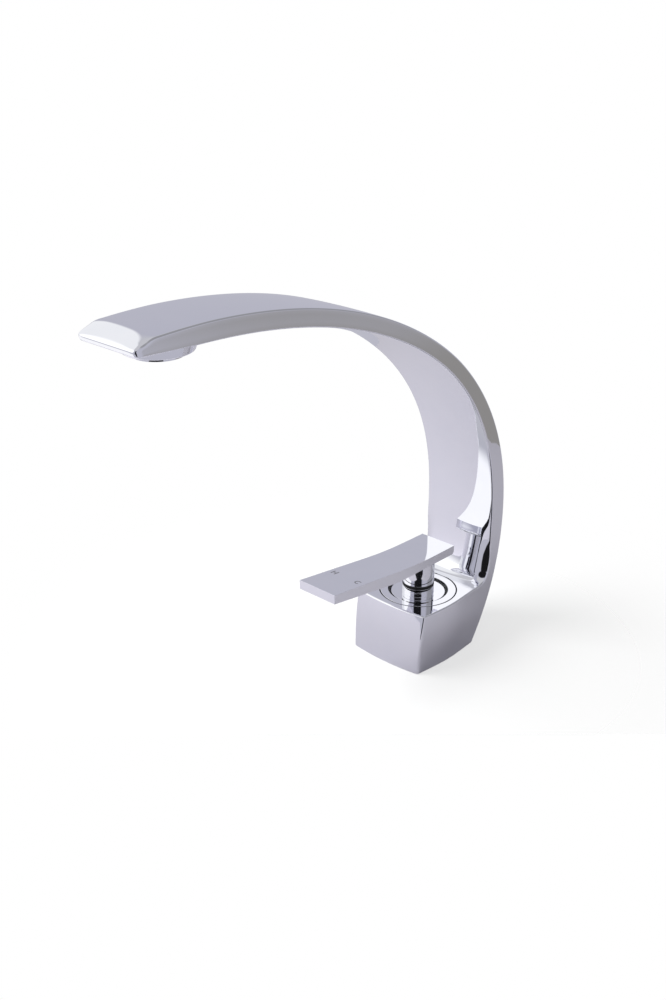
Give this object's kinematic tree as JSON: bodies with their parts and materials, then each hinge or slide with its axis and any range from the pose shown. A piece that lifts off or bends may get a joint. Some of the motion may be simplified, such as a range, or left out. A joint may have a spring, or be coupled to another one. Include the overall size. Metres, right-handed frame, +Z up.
{
  "type": "mixer tap",
  "caption": "Deck-mounted chrome lever mixer tap: a flat crescent spout rises from a square base to a bevelled tip, with a flat bent lever over a ceramic-disc cartridge.",
  "frame": {"origin": "on the cartridge axis, in the plane of the base's underside, where it sits on the basin", "axes": "+Z up along the cartridge axis, -Y along the spout towards the user, +X to the user's right"},
  "size_m": [0.0562, 0.2698, 0.2485],
  "materials": {
    "chrome": "polished",
    "brass": "machined",
    "black_nylon": "moulded",
    "steel": "machined",
    "ceramic": "lapped",
    "white_plastic": "moulded",
    "rubber": "matte",
    "mark": "filled"
  },
  "bodies": {
    "tap_body": {"body_casting": "chrome", "inlet_block": "brass", "inlet_block_seal": "rubber", "base_gasket": "rubber", "cartridge_base": "white_plastic", "port_seals": "rubber", "fixed_ceramic_disc": "ceramic", "cartridge_housing": "white_plastic", "housing_seal": "rubber", "retaining_nut": "black_nylon", "trim_ring": "chrome", "cover_cap": "chrome", "wiper_ring": "rubber", "aerator_housing": "chrome", "aerator_screen": "steel", "aerator_insert": "white_plastic", "flow_restrictor": "white_plastic", "aerator_washer": "rubber"},
    "rotor_group": {"rotor": "white_plastic", "glide_washer": "white_plastic", "pivot_pin": "steel"},
    "lever": {"lever_handle": "chrome", "spindle": "steel", "hub_socket": "brass", "grub_screw": "steel", "screw_cap": "chrome", "hot_mark": "mark", "cold_mark": "mark"},
    "disc_slider": {"disc_carrier": "white_plastic", "moving_ceramic_disc": "ceramic"}
  },
  "joints": [
    {"name": "temperature_turn", "type": "hinge", "parent": "tap_body", "child": "rotor_group", "pos_m": [0, 0, 0], "axis": [0, 0, 1], "range_deg": [-45, 45]},
    {"name": "flow_lift", "type": "hinge", "parent": "rotor_group", "child": "lever", "pos_m": [0, 0, 0.0322], "axis": [-1, 0, 0], "range_deg": [0, 24]},
    {"name": "disc_slide", "type": "slide", "parent": "rotor_group", "child": "disc_slider", "axis": [0, 1, 0], "range_m": [-0.0035, 0]}
  ],
  "couplings": [
    {"joint": "disc_slide", "follows": "flow_lift", "m_per_rad": -0.00814}
  ]
}
